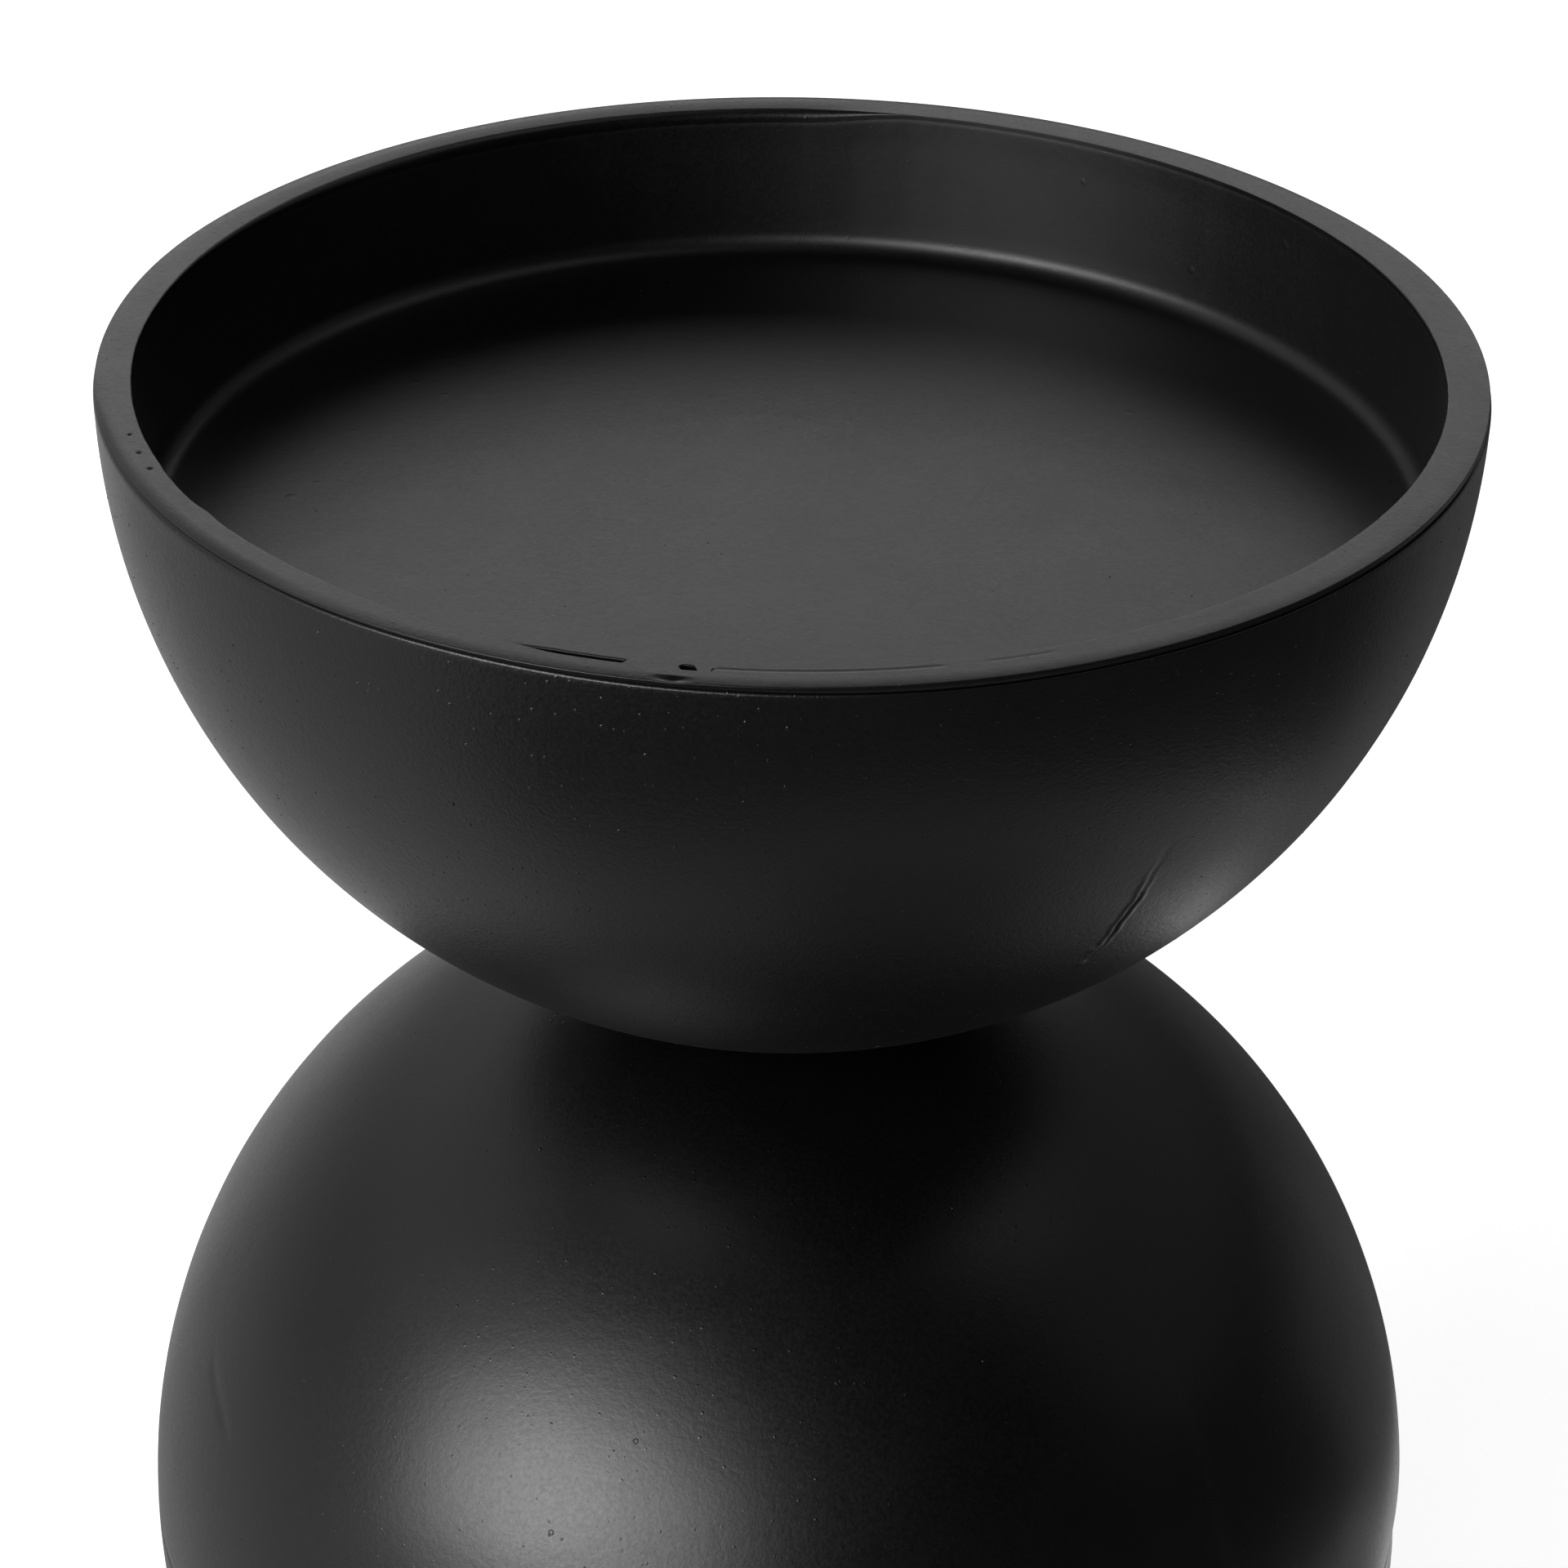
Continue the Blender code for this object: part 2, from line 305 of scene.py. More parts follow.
def bump(tree, height, depth, normal=None):
    """Bump whose full swing stands for a depth in metres."""
    node = tree.nodes.new("ShaderNodeBump")
    node.inputs["Strength"].default_value = 1.0
    node.inputs["Distance"].default_value = depth
    tree.links.new(height, node.inputs["Height"])
    if normal:
        tree.links.new(normal, node.inputs["Normal"])
    return node.outputs["Normal"]


def stretched(tree, place, factors):
    node = tree.nodes.new("ShaderNodeMapping")
    node.inputs["Scale"].default_value = factors
    tree.links.new(place, node.inputs["Vector"])
    return node.outputs["Vector"]


def calculated(tree, operation, first, second):
    node = tree.nodes.new("ShaderNodeMath")
    node.operation = operation
    tree.links.new(first, node.inputs[0])
    tree.links.new(second, node.inputs[1])
    return node.outputs["Value"]


def fine_nibs(tree, place):
    """Up to 1 on the tops of fine dust nibs, each under 0.3 mm wide, and 0 between them."""
    cells = tree.nodes.new("ShaderNodeTexVoronoi")
    cells.inputs["Scale"].default_value = NIB_SCALE
    tree.links.new(place, cells.inputs["Vector"])
    near = ranged(tree, cells.outputs["Distance"], 1.0, 0.0, 0.03, 0.15, "SMOOTHSTEP")
    uneven = tree.nodes.new("ShaderNodeSeparateColor")
    tree.links.new(cells.outputs["Color"], uneven.inputs["Color"])
    return calculated(tree, "MULTIPLY", near, uneven.outputs["Red"])


def corner_dust(tree, place):
    """More roughness where dust settled in the coat, in the corner between pan floor and wall."""
    reach = tree.nodes.new("ShaderNodeVectorMath")
    reach.operation = "LENGTH"
    tree.links.new(stretched(tree, place, (1.0, 1.0, 0.0)), reach.inputs[0])
    start = PAN_FOOT_RADIUS - 2.2 * PAN_FILLET
    full = PAN_FOOT_RADIUS - 0.9 * PAN_FILLET
    return ranged(tree, reach.outputs["Value"], 0.0, 0.07, start, full)


def grey(value):
    return (value, value, value)


def powder_coat(name, speckle, dusty=False):
    """Matt black coat: a satin grain over a fine orange peel, with fine nibs and uneven roughness."""
    material, tree, shader, place = node_material(name)
    peel = noise(tree, place, PEEL_SCALE, 1.5)
    grain = noise(tree, place, GRAIN_SCALE, 3.0, 0.65)
    blotch = noise(tree, place, BLOTCH_SCALE, 4.0, 0.6)
    run = noise(tree, stretched(tree, place, (1.0, 1.0, 0.12)), RUN_SCALE, 3.0)
    tree.links.new(tint(tree, blotch, grey(0.0004), grey(0.0007)), shader.inputs["Base Color"])
    uneven = calculated(tree, "ADD", ranged(tree, blotch, -0.012, 0.012), ranged(tree, run, -0.008, 0.008))
    if dusty:
        uneven = calculated(tree, "ADD", uneven, corner_dust(tree, place))
    satin = ranged(tree, grain, SATIN_SMOOTH, SATIN_ROUGH)
    tree.links.new(calculated(tree, "ADD", satin, uneven), shader.inputs["Roughness"])
    peeled = bump(tree, peel, 0.009 * MM)
    grained = bump(tree, grain, 0.016 * MM * speckle, peeled)
    nibbed = bump(tree, fine_nibs(tree, place), 0.028 * MM * speckle, grained)
    tree.links.new(nibbed, shader.inputs["Normal"])
    shader.inputs["IOR"].default_value = 1.5
    return material


def bare_metal(name, dark, light, rough_low, rough_high, scale, depth):
    """Metal with cloudy colour and roughness, and a fine grain of the given depth."""
    material, tree, shader, place = node_material(name)
    shader.inputs["Metallic"].default_value = 1.0
    cloud = noise(tree, place, scale, 4.0)
    tree.links.new(tint(tree, cloud, dark, light), shader.inputs["Base Color"])
    tree.links.new(ranged(tree, cloud, rough_low, rough_high), shader.inputs["Roughness"])
    tree.links.new(bump(tree, noise(tree, place, scale * 12, 3.0), depth), shader.inputs["Normal"])
    return material


def rubber():
    material, tree, shader, place = node_material("black_rubber")
    cloud = noise(tree, place, 500.0, 3.0)
    tree.links.new(tint(tree, cloud, grey(0.012), grey(0.022)), shader.inputs["Base Color"])
    tree.links.new(ranged(tree, cloud, 0.72, 0.88), shader.inputs["Roughness"])
    tree.links.new(bump(tree, noise(tree, place, 4000.0, 2.0), 0.02 * MM), shader.inputs["Normal"])
    return material


# ---------------------------------------------------------------- bowl

# The run mark: the level and turn of its upper end, the levels it covers, and its beads
# (level, mm to the side of its line, size in mm).
RUN_TOP = -20.0
RUN_TURN = 33.1
RUN_LENGTH = 16.5
RUN_BEADS = [(-33.6, -0.75, 0.30), (-36.0, -0.35, 0.34), (-26.4, 0.25, 0.2)]

# How high the bowl's inner face reaches, from the rim's top.
BOWL_EDGE = -1.4 * MM


def bowl_run(turn, level):
    """A run in the coat down the bowl's front right: two ribs, a crease between them, three beads."""
    along = (RUN_TOP - level) / RUN_LENGTH
    line = RUN_TURN - 2.4 * along + 0.10 * math.sin(19 * along) + 0.06 * math.sin(47 * along + 1)
    side = (turn - line) * math.radians(1) * BODY_RADIUS * math.cos(math.radians(level)) / MM
    body = window(along, 0.22, 0.86, 0.10)
    core = window(along, 0.38, 0.74, 0.06)
    faint = window(along, 0.0, 0.30, 0.12)
    push = 0.085 * body * gauss(side, -0.30, 0.24) - 0.10 * core * gauss(side, 0.08, 0.15)
    push = push + 0.045 * body * gauss(side, 0.42, 0.20) - 0.03 * faint * gauss(side, 0.1, 0.35)
    for bead_level, bead_side, size in RUN_BEADS:
        down = (level - bead_level) * math.radians(1) * BODY_RADIUS / MM
        push = push + 0.09 * gauss(side, bead_side, size) * gauss(down, 0, size)
    return push * MM


def bowl_push(turn, level):
    """How far the bowl's face stands out: slow unevenness, inwards only, and the run mark."""
    slow = 0.012 * (wobble(turn + 2 * level, 4) - 1) * MM
    return slow + bowl_run(turn, level)


def crease_depth(turn):
    """How far below the rim the joint line between rim and bowl lies, in mm."""
    left_part = 1 - step(np.abs(turn + 65), 35, 70)
    return 0.52 - 0.17 * left_part + 0.14 * window(turn, 4, 75, 10) + 0.02 * wobble(turn, 8)


def crease_fill(turn):
    """1 where the coat filled the joint line to a shallow dip, 0 where it is crisp."""
    return np.clip(1 - step(np.abs(turn + 62), 12, 24) + 0.5 * step(np.abs(turn), 105, 130), 0, 1)


def bowl_lip_rows(turn):
    """The bowl's rounded upper edge, just below the rim: tight on the right, soft on the left."""
    fill = crease_fill(turn)
    lip = (0.22 + 0.16 * fill - 0.14 * window(turn, 4, 75, 8)) * MM
    top = HEIGHT - (crease_depth(turn) - 0.03 * fill) * MM
    crest = BODY_RADIUS - lip - 0.005 * MM
    rows = [(BODY_RADIUS - SHEET, HEIGHT + BOWL_EDGE), (BODY_RADIUS - 0.8 * MM, top - 0.5 * MM)]
    for angle in np.radians(np.linspace(125, 5, 9)):
        rows.append((crest + lip * math.cos(angle), top - lip + lip * math.sin(angle)))
    rows.append((BODY_RADIUS - 0.006 * MM, HEIGHT - 0.95 * MM))
    return rows


def make_bowl(coat):
    turn = turns(EVEN, [FRONT_FINE, LEFT_FINE, RUN_TURNS])
    edge_level = level_at(BOWL_EDGE)
    flat_level = level_at(BOWL_FLAT)
    levels = spread(flat_level + FLAT_MARGIN, edge_level, EVEN, [RUN_LEVELS])[::-1]
    profile = bowl_lip_rows(turn)
    profile += dome_rows(levels, turn, HEIGHT, BODY_RADIUS, bowl_push)
    profile.append((circle_at(BOWL_FLAT) - 0.5 * MM, BOWL_LOW.z))
    profile += [(HOLE_RADIUS, BOWL_LOW.z), (HOLE_RADIUS, BOWL_LOW.z + SHEET)]
    inner_levels = np.linspace(flat_level, edge_level, INNER_ROWS)
    profile += dome_rows(inner_levels, turn, HEIGHT, BODY_RADIUS - SHEET)
    return stand_for(lathe("bowl_shell_coated", turn, profile), coat, "black_powder_coat", "bowl_shell")


# ---------------------------------------------------------------- rim and recess

# Radii: the inner side of the hoop's leg, its upper edge in an open slot, its joint with the pan.
RIM_LEG_RADIUS = 48.2 * MM
SLOT_RADIUS = 48.14 * MM
JOINT_RADIUS = 47.82 * MM

# Radii on the top face: its close rows start and end, it starts to fall outwards, and inwards.
FACE_START = 47.5 * MM
FACE_MIDDLE = 49.0 * MM
FACE_FALL = 48.7 * MM
LEAN_START = 49.4 * MM

# The width of the inward fall, and the rounding of the rim's outer edge.
LEAN_WIDTH = 1.9 * MM
RIM_EDGE = 0.06 * MM

# Pits in the rim's top face on the left: turn, and radius and size in mm.
RIM_PITS = [(-72.8, 48.20, 0.17), (-69.2, 48.22, 0.22), (-66.0, 48.20, 0.24)]


def open_slot(turn):
    """1 where the joint between rim and pan was left open by the coat, 0 where it is bridged."""
    long_slot = (0.25 + 0.6 * step(turn, -23.5, -18.0)) * window(turn, -23.5, -12.6, 0.35)
    short_slot = window(turn, -8.5, -5.7, 0.35)
    return np.clip(long_slot + short_slot, 0, 1)


def fine_groove(turn):
    """1 where the joint shows as a fine line."""
    return np.clip(window(turn, -5.8, 12.0, 0.5) + 0.7 * window(turn, 15.6, 21.0, 0.8), 0, 1)


def rim_pits(turn, radius):
    """Small pits and one long burst blister in the rim's top face, as a height in metres."""
    height = 0.0
    for pit_turn, pit_radius, size in RIM_PITS:
        along = (turn - pit_turn) * math.radians(1) * pit_radius
        across = radius / MM - pit_radius
        reach = np.sqrt(along ** 2 + across ** 2)
        height = height - 0.10 * gauss(reach, 0, size) + 0.03 * gauss(reach, 1.7 * size, 0.6 * size)
    along = (turn + 8.7) * math.radians(1) * 49.6
    across = radius / MM - 49.52
    height = height - 0.14 * gauss(along, 0, 1.15) ** 2 * gauss(across, 0, 0.28)
    height = height + 0.025 * gauss(along, 0, 1.1) * gauss(across, -0.45, 0.16)
    return height * MM


def mouth_radius(turn):
    """Radius of the recess's edge at the top: the pan sits a touch off centre and is not quite round."""
    even = 47.03 - 0.22 * np.sin(np.radians(turn)) + 0.26 * window(turn, -36, 11, 8)
    even = even + 0.035 * wobble(turn, 3, (5, 8, 13, 21))
    bump_in = 0.08 * window(turn, -66, -57.6, 1.2) - 0.10 * gauss(turn, -56.5, 1.6)
    return (even + bump_in + 0.02 * roughness_line(turn, 33)) * MM


def joint_line(turn, radius):
    """Faint dip where the joint between rim and pan shows through the coat."""
    across = (radius - JOINT_RADIUS) / MM
    return -0.03 * MM * fine_groove(turn) * (1 - open_slot(turn)) * gauss(across, 0, 0.14)


def behind(turn):
    """1 round the back of the rim, mostly on the left, where the coat pooled and edges are softer."""
    return np.where(turn < 0, step(-turn, 95, 150), step(turn, 168, 180))


def edge_rounding(turn):
    """Radius of the soft edge between the rim's top face and the recess."""
    sharp = step(turn, 95, 125) * (1 - behind(turn))
    return (0.16 + 0.50 * behind(turn) - 0.13 * sharp) * MM


def inward_lean(turn, radius):
    """How far the rim's top face falls away towards the recess round the back."""
    share = np.clip((LEAN_START - radius) / LEAN_WIDTH, 0, 1)
    return 0.15 * MM * behind(turn) * share ** 2


def rim_top(turn, radius, drop, end):
    """Height of the rim's top face: flat, falling away a little towards the outside."""
    share = np.clip((radius - FACE_FALL) / (end - FACE_FALL), 0, 1)
    fall = drop * share ** 2 + inward_lean(turn, radius)
    return joint_line(turn, radius) + rim_pits(turn, radius) - fall


def soft_edge_depth(turn, skin):
    """How far below the rim's top its soft inner edge turns into the skin's upright face."""
    soft = edge_rounding(turn)
    return soft + inward_lean(turn, skin + soft)


def rim_skin_rows(turn, skin):
    """The coat's skin over the joint with the pan: its hidden foot, upright face and soft edge."""
    soft = edge_rounding(turn)
    foot = -soft_edge_depth(turn, skin)
    rows = [(skin + 0.06 * MM, foot - 0.58 * MM)]
    for down in (0.5, 0.35, 0.2, 0.05):
        rows.append((skin, foot - down * MM))
    for angle in np.radians(np.linspace(180, 90, 10)):
        rows.append((skin + soft * (1 + math.cos(angle)), foot + soft * math.sin(angle)))
    return rows


def rim_face_rows(turn, skin):
    """The rim's top face out to its rounded outer edge, and down to the joint with the bowl."""
    front = 1 - step(np.abs(turn), 75, 115)
    fill = crease_fill(turn)
    end = BODY_RADIUS - (0.04 + 0.08 * front + 0.05 * fill) * MM - RIM_EDGE
    drop = (0.03 + 0.05 * front + 0.17 * fill) * MM
    start = skin + edge_rounding(turn)
    rows = []
    for count, radius in enumerate(np.linspace(FACE_START, FACE_MIDDLE, 19)):
        place = np.maximum(radius, start + 0.004 * MM * (count + 1))
        rows.append((place, rim_top(turn, place, drop, end)))
    for share in np.linspace(0.1, 1.0, 11):
        place = FACE_MIDDLE + (end - FACE_MIDDLE) * share
        rows.append((place, rim_top(turn, place, drop, end)))
    for angle in np.radians(np.linspace(65, 0, 5)):
        height = RIM_EDGE * (math.sin(angle) - 1) - drop + rim_pits(turn, end)
        rows.append((end + RIM_EDGE * math.cos(angle), height))
    depth = crease_depth(turn) * MM
    rows += [(end + 0.9 * RIM_EDGE, 0.08 * MM - depth), (end - 1.5 * RIM_EDGE, -0.06 * MM - depth)]
    rows.append((end - 0.4 * MM, -0.2 * MM - depth))
    return rows


def rim_leg_rows(turn, skin):
    """The hoop's hidden leg between bowl and pan, and the way back up behind the skin."""
    low = RIM_LOW.z - HEIGHT
    outer = PAN_RADIUS + 1.5 * MM
    back = (skin + 0.25 * MM, -soft_edge_depth(turn, skin) - 0.6 * MM)
    return [(outer, -1.2 * MM), (outer, low), (RIM_LEG_RADIUS, low), (RIM_LEG_RADIUS, -0.9 * MM), back]


def make_rim(coat):
    """The hoop, with the coat's skin that bridges its joint with the pan except at the open slots."""
    turn = turns(EVEN, [FRONT_FINE, LEFT_FINE])
    slot = open_slot(turn)
    skin = mouth_radius(turn) * (1 - slot) + SLOT_RADIUS * slot
    profile = rim_skin_rows(turn, skin) + rim_face_rows(turn, skin) + rim_leg_rows(turn, skin)
    lifted = [(r, HEIGHT + np.minimum(z, 0.0)) for r, z in profile]
    return stand_for(lathe("rim_ring_coated", turn, lifted), coat, "black_powder_coat", "rim_ring")


def pan_floor_rows(turn):
    """The slightly dished floor, and the fillet round it."""
    flat_radius = PAN_FOOT_RADIUS - PAN_FILLET
    dish = PAN_DISH * (1 + 0.3 * wobble(turn, 21, (1, 2, 3)))
    rows = [(0.0, PAN_FLOOR - PAN_DISH)]
    for share in (0.2, 0.4, 0.6, 0.8, 0.92):
        rows.append((share * flat_radius, PAN_FLOOR - dish * (1 - share ** 2)))
    for r, z in corner((flat_radius, PAN_FLOOR + PAN_FILLET), PAN_FILLET, -90, 0, 10):
        rows.append((r + 0.01 * MM * roughness_line(turn, 31), z))
    return rows


def pan_wall_rows(turn, inner, top):
    """The recess's wall, with slight ripples down it, up to behind the rim's skin."""
    low = PAN_FLOOR + PAN_FILLET
    ripple = 0.02 * MM * (wobble(turn, 40, (7, 11, 17, 23)) + 0.7 * wobble(turn, 44, (41, 53, 67, 83)))
    rows = []
    for share in (0.12, 0.3, 0.5, 0.7, 0.85):
        own = 0.012 * MM * wobble(turn, 50 + int(10 * share), (19, 31, 47, 71))
        reach = PAN_FOOT_RADIUS + (inner - PAN_FOOT_RADIUS) * share
        rows.append((reach + ripple + own, low + (top - low) * share))
    mouth = mouth_radius(turn)
    skin_foot = HEIGHT - soft_edge_depth(turn, mouth)
    rows += [(mouth - 0.03 * MM, skin_foot - 0.75 * MM), (mouth - 0.02 * MM, skin_foot - 0.45 * MM)]
    return rows


def pan_lip_rows(inner, outer, top):
    """The pan's upper edge, which shows in the open slots and lies under the skin elsewhere."""
    lip = np.minimum((outer - inner) * 0.4, 0.1 * MM)
    return [
        (inner, top - lip - 0.04 * MM),
        (inner, top - lip),
        (inner + 0.3 * lip, top - 0.3 * lip),
        (inner + lip, top),
        (outer - lip, top),
        (outer - 0.1 * lip, top - 0.4 * lip),
        (outer, top - 0.8 * lip),
        (outer - 0.06 * MM, top - 0.3 * MM),
        (outer - 0.05 * MM, HEIGHT - 0.7 * MM),
    ]


def pan_back_rows():
    """The pan's hidden outer side and underside."""
    back = PAN_RADIUS + PAN_SHEET
    low = PAN_LOW.z
    return [
        (back - 0.05 * MM, HEIGHT - 2.0 * MM),
        (back - 0.3 * MM, low + 2 * MM),
        (back - 1.0 * MM, low + 0.5 * MM),
        (back - 2.4 * MM, low),
        (0.0, low),
    ]


def make_pan(coat):
    turn = turns(EVEN, [FRONT_FINE, LEFT_FINE])
    bridged = 1 - open_slot(turn)
    mouth = mouth_radius(turn)
    inner = mouth + 0.02 * MM * bridged
    outer = mouth + (0.19 + 0.4 * bridged) * MM
    notch = gauss(turn, -6.6, 0.42)
    top = HEIGHT - (0.12 * bridged + 0.01 + 1.8 * notch + 0.8 * behind(turn)) * MM
    profile = pan_floor_rows(turn) + pan_wall_rows(turn, inner, top)
    profile += pan_lip_rows(inner, outer, top) + pan_back_rows()
    piece = lathe("recess_pan_coated", turn, profile, closed=False)
    return stand_for(piece, coat, "black_powder_coat", "recess_pan")


# ---------------------------------------------------------------- ball, neck and foot

# Levels at the joint of the half shells: where the outer faces begin, the edges set back between
# them, and the upper shell's inner face.
JOINT_FACE = 0.08
JOINT_EDGE = 0.03
JOINT_INNER = 0.02
JOINT_SETBACK = 0.05 * MM


def equator_dent(turn, level):
    """Flattened patch at the joint of the half shells, where the weld was ground too deep."""
    return -0.34 * MM * gauss(level, -1.0, 3.0) * gauss(turn, 84, 26)


def ball_push(turn, level):
    """How far the ball's face stands out: slow unevenness, inwards only, a streak and the ground patch."""
    slow = 0.015 * (wobble(turn - 3 * level, 17) - 1) * MM
    line = 21.4 - 0.36 * (turn + 67)
    streak = -0.05 * MM * gauss(level, line, 0.8) * window(turn, -71.0, -63.0, 1.5)
    return slow + streak + equator_dent(turn, level)


def make_ball_upper(coat):
    turn = turns(EVEN, [STREAK_TURNS])
    flat_level = level_at(BALL_FLAT)
    levels = spread(JOINT_FACE, flat_level - FLAT_MARGIN, EVEN, [STREAK_LEVELS])[::-1]
    inner_levels = np.linspace(JOINT_INNER, flat_level, INNER_ROWS)
    profile = [(HOLE_RADIUS, UPPER_HIGH.z), (circle_at(BALL_FLAT) - 0.5 * MM, UPPER_HIGH.z)]
    profile += dome_rows(levels, turn, SEAM_Z, BODY_RADIUS, ball_push)
    profile += dome_rows([JOINT_EDGE], turn, SEAM_Z, BODY_RADIUS - JOINT_SETBACK, equator_dent)
    profile += dome_rows(inner_levels, turn, SEAM_Z, BODY_RADIUS - SHEET)
    profile.append((HOLE_RADIUS, UPPER_HIGH.z - SHEET))
    piece = lathe("ball_upper_shell_coated", turn, profile)
    return stand_for(piece, coat, "black_powder_coat", "ball_upper_shell")


def make_ball_lower(coat):
    turn = turns(EVEN)
    foot_level = level_at(FOOT)
    foot_radius = circle_at(FOOT)
    inner_radius = foot_radius * (BODY_RADIUS - SHEET) / BODY_RADIUS
    levels = spread(foot_level + 0.4, -JOINT_FACE, EVEN)[::-1]
    inner_levels = np.linspace(foot_level + 0.5, -JOINT_EDGE, INNER_ROWS)
    profile = dome_rows([-JOINT_EDGE], turn, SEAM_Z, BODY_RADIUS - JOINT_SETBACK, equator_dent)
    profile += dome_rows(levels, turn, SEAM_Z, BODY_RADIUS, ball_push)
    profile.append((foot_radius - 0.25 * MM, LOWER_LOW.z))
    profile.append((inner_radius + 0.1 * MM, LOWER_LOW.z + 0.1 * MM))
    profile += dome_rows(inner_levels, turn, SEAM_Z, BODY_RADIUS - SHEET)
    piece = lathe("ball_lower_shell_coated", turn, profile)
    return stand_for(piece, coat, "black_powder_coat", "ball_lower_shell")


def rounded_disc(name, low, high, radius, edge, hole=0.0):
    """Turned disc or ring with rounded outer edges."""
    turn = turns(2.0)
    profile = [(hole, high)]
    if hole == 0.0:
        profile += [(radius * share, high) for share in (0.3, 0.6, 0.85)]
    profile += corner((radius - edge, high - edge), edge, 90, 0, 5)
    profile += corner((radius - edge, low + edge), edge, 0, -90, 5)
    profile.append((hole, low))
    return lathe(name, turn, profile, closed=hole > 0)


def make_neck(coat):
    edge = 0.3 * MM
    piece = rounded_disc("neck_washer_coated", NECK_LOW.z, NECK_HIGH.z, NECK_HIGH.x, edge, HOLE_RADIUS)
    return stand_for(piece, coat, "black_powder_coat", "neck_washer")


def make_pad(material):
    edge = 0.35 * MM
    piece = rounded_disc("foot_pad_rubber", PAD_LOW.z, PAD_HIGH.z, PAD_HIGH.x, edge)
    return stand_for(piece, material, "black_rubber", "foot_pad")


# ---------------------------------------------------------------- nibs and craters in the coat

# Marks seen in the photograph. On the shells: turn, level, and size in mm.
BOWL_NIBS = [(-27.2, -14.9, 0.16), (-5.1, -2.6, 0.09), (-3.6, -3.6, 0.07), (20.7, -2.8, 0.08),
             (23.5, -3.3, 0.09), (9.7, -22.4, 0.09), (12.7, -52.6, 0.14)]
BALL_NIBS = [(23.5, 42.5, 0.14), (26.3, 55.7, 0.14), (-40.3, 42.8, 0.12), (-42.3, 57.8, 0.14)]
BALL_CRATERS = [(6.5, 42.5, 0.17), (-14.9, 36.7, 0.17), (-21.7, 27.9, 0.17)]

# In the pan: turn, radius in mm (floor) or depth below the rim in mm (wall), and size in mm.
FLOOR_LUMPS = [(129, 36.5, 0.9), (145, 37.3, 0.6), (123, 43.9, 0.6), (123.5, 30.7, 0.9),
               (113, 44.2, 0.7), (-125.5, 35.5, 0.8), (-125, 32.3, 0.8), (-107.5, 31.0, 0.8),
               (-110, 35.0, 0.6), (-95, 35.0, 0.7), (-91, 36.6, 0.9), (92.5, 44.3, 0.8), (97, 44.4, 0.7)]
WALL_LUMPS = [(126.5, 2.9, 0.5), (-128.5, 2.4, 0.35), (-124, 5.7, 0.4), (151, 3.4, 0.35), (118, 4.8, 0.4)]

# Degrees either side of a shell's widest circle without scattered nibs, which would pass the CAD's box.
WIDEST_BAND = 3.2

# Radii of the scattered nibs in mm: the smallest, and how much larger they get.
NIB_SMALLEST = 0.03
NIB_SPREAD = 0.05

# In the pan: how many nibs on the floor, and how many lumps low on the wall.
FLOOR_NIB_COUNT = 60
LUMP_COUNT = 26

# How far a nib or a lump stands out, as a share of its radius, and how deep a lump's middle lies.
NIB_RISE = 0.36
SPECK_RISE = 0.45
LUMP_RISE = 0.14
LUMP_SUNK = 0.82


def on_sphere(centre_z, turn, level):
    """A point and its outward normal on the bowl's or the ball's sphere."""
    normal = direction(turn, level)
    return Vector((0, 0, centre_z)) + normal * BODY_RADIUS, normal


def add_nib(shape, point, normal, size, rise, sunk=0.0):
    """A flattened grain under the coat, with its middle the share sunk of its rise below the face."""
    turned = normal.to_track_quat("Z", "Y").to_matrix().to_4x4()
    flat = Matrix.Diagonal((size, size, rise * size, 1.0))
    place = Matrix.Translation(point - normal * sunk * rise * size) @ turned @ flat
    rounds = 2
    if size < 0.1 * MM:
        rounds = 1
    elif sunk:
        rounds = 3
    bmesh.ops.create_icosphere(shape, subdivisions=rounds, radius=1.0, matrix=place)


def add_crater(shape, point, normal, size):
    """A low ring round a burst bubble in the coat."""
    turned = Matrix.Translation(point) @ normal.to_track_quat("Z", "Y").to_matrix().to_4x4()
    sides, rounds = 20, 6
    rings = []
    for i in range(sides):
        a = 2 * math.pi * i / sides
        ring = []
        for j in range(rounds):
            b = 2 * math.pi * j / rounds
            reach = size * (1 + 0.28 * math.cos(b))
            place = Vector((reach * math.cos(a), reach * math.sin(a), 0.22 * size * math.sin(b)))
            ring.append(shape.verts.new(turned @ place))
        rings.append(ring)
    for i in range(sides):
        for j in range(rounds):
            here, ahead = rings[i], rings[(i + 1) % sides]
            shape.faces.new((here[j], ahead[j], ahead[(j + 1) % rounds], here[(j + 1) % rounds]))


def make_nibs(name, coat, centre_z, levels, count, seed, known, craters=()):
    """The known marks on a shell, and count nibs scattered evenly between two levels."""
    shape = bmesh.new()
    source = random.Random(seed)
    spots = list(known)
    low, high = (math.sin(math.radians(v)) for v in levels)
    for _ in range(count):
        level = math.degrees(math.asin(source.uniform(low, high)))
        turn = source.uniform(-180, 180)
        size = NIB_SMALLEST + NIB_SPREAD * source.random() ** 2
        if abs(level) > WIDEST_BAND:
            spots.append((turn, level, size))
    for turn, level, size in spots:
        point, normal = on_sphere(centre_z, turn, level)
        add_nib(shape, point, normal, size * MM, NIB_RISE)
    for turn, level, size in craters:
        point, normal = on_sphere(centre_z, turn, level)
        add_crater(shape, point, normal, size * MM)
    return nib_piece(name, shape, coat)


